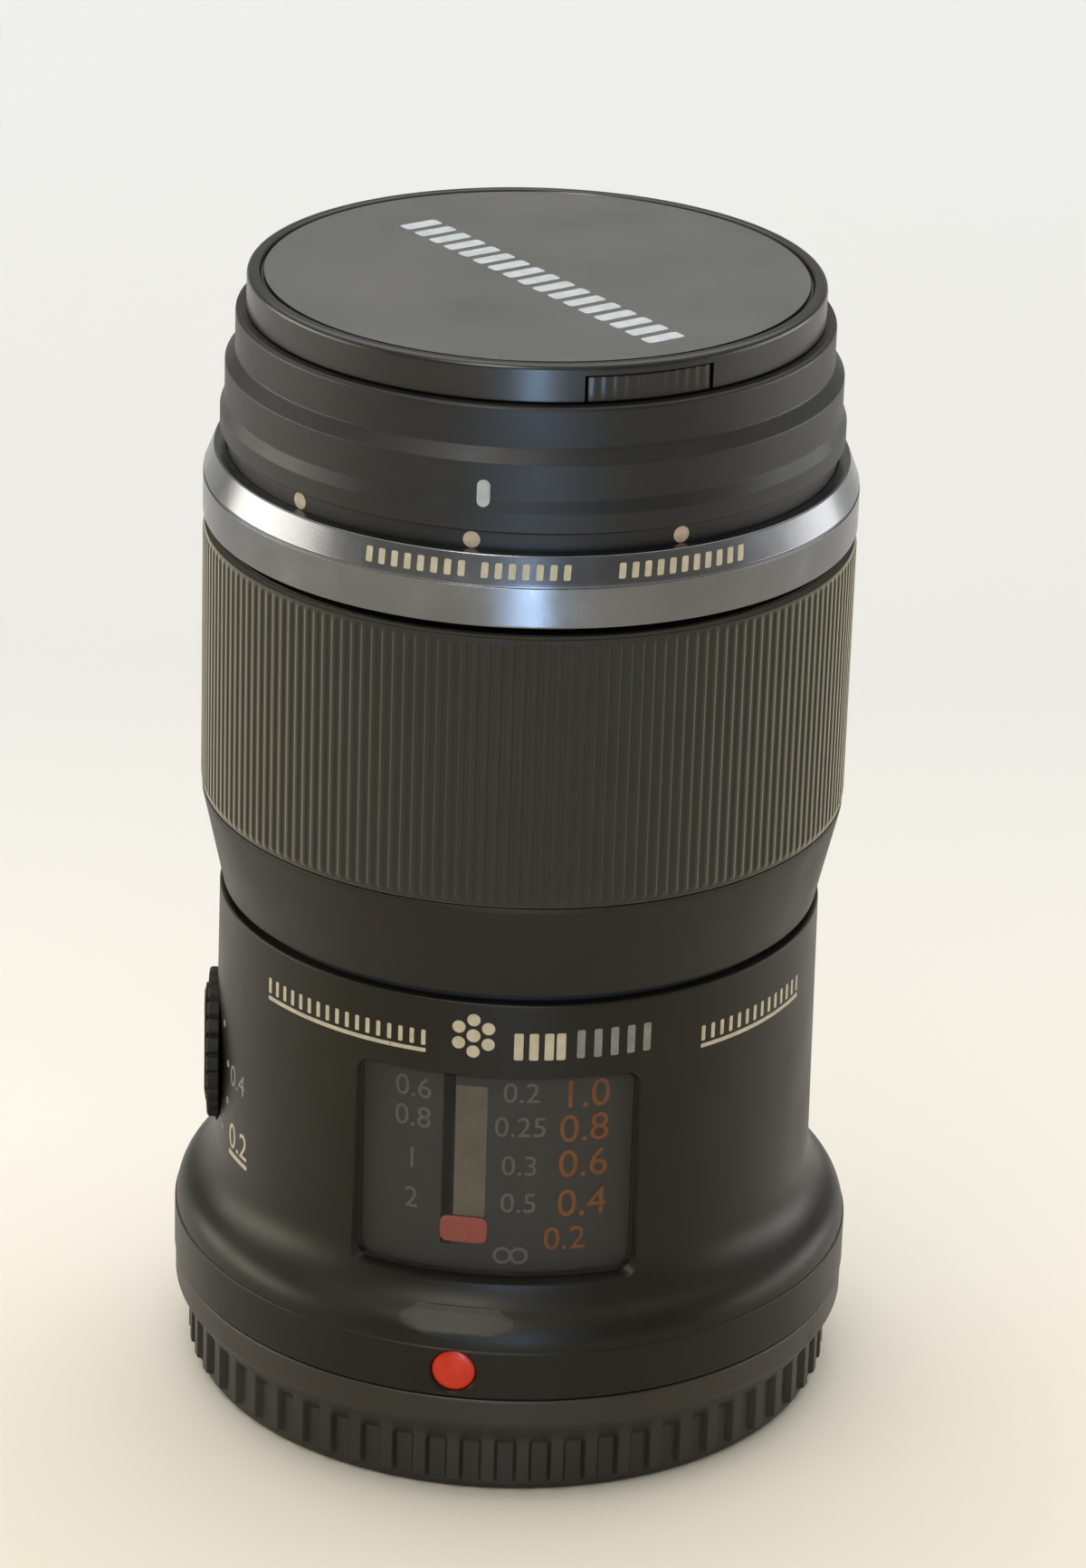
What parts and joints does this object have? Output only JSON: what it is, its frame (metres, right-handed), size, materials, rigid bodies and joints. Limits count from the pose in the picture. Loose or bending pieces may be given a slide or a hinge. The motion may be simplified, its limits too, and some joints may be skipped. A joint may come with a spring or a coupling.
{
  "type": "macro lens",
  "caption": "Autofocus macro lens on its rear cap with its front cap on; focus ring, floating lens groups, iris, distance window and limiter dial",
  "frame": {"origin": "centre of the rear cap's floor, where the lens stands", "axes": "+Z is the optical axis towards the front; -Y is the side of the index bead and the distance window; +X completes the frame"},
  "size_m": [0.056, 0.056, 0.0943],
  "materials": {
    "rear_cap": "fine matte black moulding",
    "main_barrel": "fine matte black moulding",
    "limiter_dial": "fine matte black moulding",
    "focus_ring_core": "fine matte black moulding",
    "front_trim_ring": "fine matte black moulding",
    "rear_baffle": "fine matte black moulding",
    "contact_block": "fine matte black moulding",
    "front_cap_back": "fine matte black moulding",
    "front_cell": "fine matte black moulding",
    "rear_cell": "fine matte black moulding",
    "focus_carriage": "fine matte black moulding",
    "float_carriage": "fine matte black moulding",
    "iris_base": "fine matte black moulding",
    "iris_cover": "fine matte black moulding",
    "limit_switch": "fine matte black moulding",
    "pinch_tab_near": "fine matte black moulding",
    "pinch_tab_far": "fine matte black moulding",
    "inner_barrel": "fine matte black moulding",
    "front_barrel": "fine matte black moulding",
    "front_cap_plate": "satin dark grey moulding",
    "focus_grip": "ribbed black rubber",
    "mount_seal": "soft black seal",
    "name_ring": "fine blasted anodised silver",
    "mount_bayonet": "turned steel",
    "mount_screws": "turned steel",
    "guide_rods": "turned steel",
    "rear_lead_screw": "turned steel",
    "front_lead_screw": "turned steel",
    "rear_motor": "turned steel",
    "front_motor": "turned steel",
    "iris_motor": "turned steel",
    "pinch_spring_near": "turned steel",
    "pinch_spring_far": "turned steel",
    "dial_clip": "turned steel",
    "contact_pins": "gold plated",
    "iris_pinion": "cut brass",
    "iris_drive_ring": "cut brass",
    "iris_blade_1": "thin sheet with a dull black coat",
    "iris_blade_2": "thin sheet with a dull black coat",
    "iris_blade_3": "thin sheet with a dull black coat",
    "iris_blade_4": "thin sheet with a dull black coat",
    "iris_blade_5": "thin sheet with a dull black coat",
    "iris_blade_6": "thin sheet with a dull black coat",
    "iris_blade_7": "thin sheet with a dull black coat",
    "scale_window": "clear curved pane",
    "scale_plate": "black sheet with printed figures",
    "index_bead": "glossy orange red bead",
    "distance_marker": "red marker",
    "main_board": "green board",
    "flex_print": "amber film",
    "lens_01": "coated optical glass",
    "lens_02_03": "coated optical glass",
    "lens_04": "coated optical glass",
    "lens_05": "coated optical glass",
    "lens_06_07": "coated optical glass",
    "lens_08": "coated optical glass",
    "lens_09_10": "coated optical glass",
    "lens_11": "coated optical glass",
    "lens_12": "coated optical glass",
    "lens_13": "coated optical glass"
  },
  "bodies": {
    "lens_body": {"contact_block": "contact_block", "contact_pins": "contact_pins", "flex_print": "flex_print", "front_barrel": "front_barrel", "front_cell": "front_cell", "front_motor": "front_motor", "front_trim_ring": "front_trim_ring", "guide_rods": "guide_rods", "index_bead": "index_bead", "inner_barrel": "inner_barrel", "iris_base": "iris_base", "iris_cover": "iris_cover", "iris_motor": "iris_motor", "lens_01": "lens_01", "lens_02_03": "lens_02_03", "lens_04": "lens_04", "lens_11": "lens_11", "lens_12": "lens_12", "lens_13": "lens_13", "limit_switch": "limit_switch", "main_barrel": "main_barrel", "main_board": "main_board", "mount_bayonet": "mount_bayonet", "mount_screws": "mount_screws", "mount_seal": "mount_seal", "name_ring": "name_ring", "rear_baffle": "rear_baffle", "rear_cell": "rear_cell", "rear_motor": "rear_motor", "scale_plate": "scale_plate", "scale_window": "scale_window"},
    "rear_cap": {"rear_cap": "rear_cap"},
    "focus_ring": {"focus_ring_core": "focus_ring_core", "focus_grip": "focus_grip"},
    "limiter_dial": {"limiter_dial": "limiter_dial", "dial_clip": "dial_clip"},
    "focus_carriage": {"focus_carriage": "focus_carriage", "distance_marker": "distance_marker", "lens_08": "lens_08", "lens_09_10": "lens_09_10"},
    "float_carriage": {"float_carriage": "float_carriage", "lens_05": "lens_05", "lens_06_07": "lens_06_07"},
    "rear_lead_screw": {"rear_lead_screw": "rear_lead_screw"},
    "front_lead_screw": {"front_lead_screw": "front_lead_screw"},
    "iris_drive_ring": {"iris_drive_ring": "iris_drive_ring"},
    "iris_pinion": {"iris_pinion": "iris_pinion"},
    "front_cap": {"front_cap_plate": "front_cap_plate", "front_cap_back": "front_cap_back", "pinch_spring_near": "pinch_spring_near", "pinch_spring_far": "pinch_spring_far"},
    "pinch_tab_near": {"pinch_tab_near": "pinch_tab_near"},
    "pinch_tab_far": {"pinch_tab_far": "pinch_tab_far"},
    "iris_blade_1": {"iris_blade_1": "iris_blade_1"},
    "iris_blade_2": {"iris_blade_2": "iris_blade_2"},
    "iris_blade_3": {"iris_blade_3": "iris_blade_3"},
    "iris_blade_4": {"iris_blade_4": "iris_blade_4"},
    "iris_blade_5": {"iris_blade_5": "iris_blade_5"},
    "iris_blade_6": {"iris_blade_6": "iris_blade_6"},
    "iris_blade_7": {"iris_blade_7": "iris_blade_7"}
  },
  "joints": [
    {"name": "rear_cap_twist", "type": "hinge", "parent": "lens_body", "child": "rear_cap", "pos_m": [0, 0, 0.005], "axis": [0, 0, 1], "range_deg": [0, 60]},
    {"name": "focus_ring_turn", "type": "hinge", "parent": "lens_body", "child": "focus_ring", "pos_m": [0, 0, 0.06], "axis": [0, 0, 1], "continuous": true},
    {"name": "limiter_dial_turn", "type": "hinge", "parent": "lens_body", "child": "limiter_dial", "pos_m": [-0.02462, -0.00434, 0.027], "axis": [-0.9848, -0.1736, 0], "range_deg": [0, 90]},
    {"name": "focus_slide", "type": "slide", "parent": "lens_body", "child": "focus_carriage", "axis": [0, 0, 1], "range_m": [0, 0.013]},
    {"name": "float_slide", "type": "slide", "parent": "lens_body", "child": "float_carriage", "axis": [0, 0, -1], "range_m": [0, 0.004]},
    {"name": "rear_screw_turn", "type": "hinge", "parent": "lens_body", "child": "rear_lead_screw", "pos_m": [0.0177, 0, 0.034], "axis": [0, 0, 1], "range_deg": [0, 2341]},
    {"name": "front_screw_turn", "type": "hinge", "parent": "lens_body", "child": "front_lead_screw", "pos_m": [-0.0177, 0, 0.06], "axis": [0, 0, 1], "range_deg": [0, 721]},
    {"name": "iris_turn", "type": "hinge", "parent": "lens_body", "child": "iris_drive_ring", "pos_m": [0, 0, 0.056], "axis": [0, 0, 1], "range_deg": [0, 30]},
    {"name": "iris_pinion_turn", "type": "hinge", "parent": "lens_body", "child": "iris_pinion", "pos_m": [0.00855, 0.01481, 0.056], "axis": [0, 0, 1], "range_deg": [-312, 0]},
    {"name": "front_cap_off", "type": "slide", "parent": "lens_body", "child": "front_cap", "axis": [0, 0, 1], "range_m": [0, 0.012]},
    {"name": "blade_1_turn", "type": "hinge", "parent": "lens_body", "child": "iris_blade_1", "pos_m": [0.0142, 0, 0.0545], "axis": [0, 0, 1], "range_deg": [0, 30]},
    {"name": "blade_2_turn", "type": "hinge", "parent": "lens_body", "child": "iris_blade_2", "pos_m": [0.00885, 0.0111, 0.0545], "axis": [0, 0, 1], "range_deg": [0, 30]},
    {"name": "blade_3_turn", "type": "hinge", "parent": "lens_body", "child": "iris_blade_3", "pos_m": [-0.00316, 0.01384, 0.0545], "axis": [0, 0, 1], "range_deg": [0, 30]},
    {"name": "blade_4_turn", "type": "hinge", "parent": "lens_body", "child": "iris_blade_4", "pos_m": [-0.01279, 0.00616, 0.0545], "axis": [0, 0, 1], "range_deg": [0, 30]},
    {"name": "blade_5_turn", "type": "hinge", "parent": "lens_body", "child": "iris_blade_5", "pos_m": [-0.01279, -0.00616, 0.0545], "axis": [0, 0, 1], "range_deg": [0, 30]},
    {"name": "blade_6_turn", "type": "hinge", "parent": "lens_body", "child": "iris_blade_6", "pos_m": [-0.00316, -0.01384, 0.0545], "axis": [0, 0, 1], "range_deg": [0, 30]},
    {"name": "blade_7_turn", "type": "hinge", "parent": "lens_body", "child": "iris_blade_7", "pos_m": [0.00885, -0.0111, 0.0545], "axis": [0, 0, 1], "range_deg": [0, 30]},
    {"name": "pinch_near_press", "type": "slide", "parent": "front_cap", "child": "pinch_tab_near", "axis": [-0.521, 0.8536, 0], "range_m": [0, 0.0015], "stiffness_N_per_m": 1200, "springref_m": -0.0005, "deforming": ["pinch_spring_near"]},
    {"name": "pinch_far_press", "type": "slide", "parent": "front_cap", "child": "pinch_tab_far", "axis": [0.521, -0.8536, 0], "range_m": [0, 0.0015], "stiffness_N_per_m": 1200, "springref_m": -0.0005, "deforming": ["pinch_spring_far"]}
  ],
  "couplings": [
    {"joint": "float_slide", "follows": "focus_slide", "ratio": 0.30769},
    {"joint": "rear_screw_turn", "follows": "focus_slide", "rad_per_m": 3141.6},
    {"joint": "front_screw_turn", "follows": "focus_slide", "rad_per_m": 966.64},
    {"joint": "iris_pinion_turn", "follows": "iris_turn", "ratio": -10.4},
    {"joint": "blade_1_turn", "follows": "iris_turn", "ratio": 1},
    {"joint": "blade_2_turn", "follows": "iris_turn", "ratio": 1},
    {"joint": "blade_3_turn", "follows": "iris_turn", "ratio": 1},
    {"joint": "blade_4_turn", "follows": "iris_turn", "ratio": 1},
    {"joint": "blade_5_turn", "follows": "iris_turn", "ratio": 1},
    {"joint": "blade_6_turn", "follows": "iris_turn", "ratio": 1},
    {"joint": "blade_7_turn", "follows": "iris_turn", "ratio": 1}
  ]
}
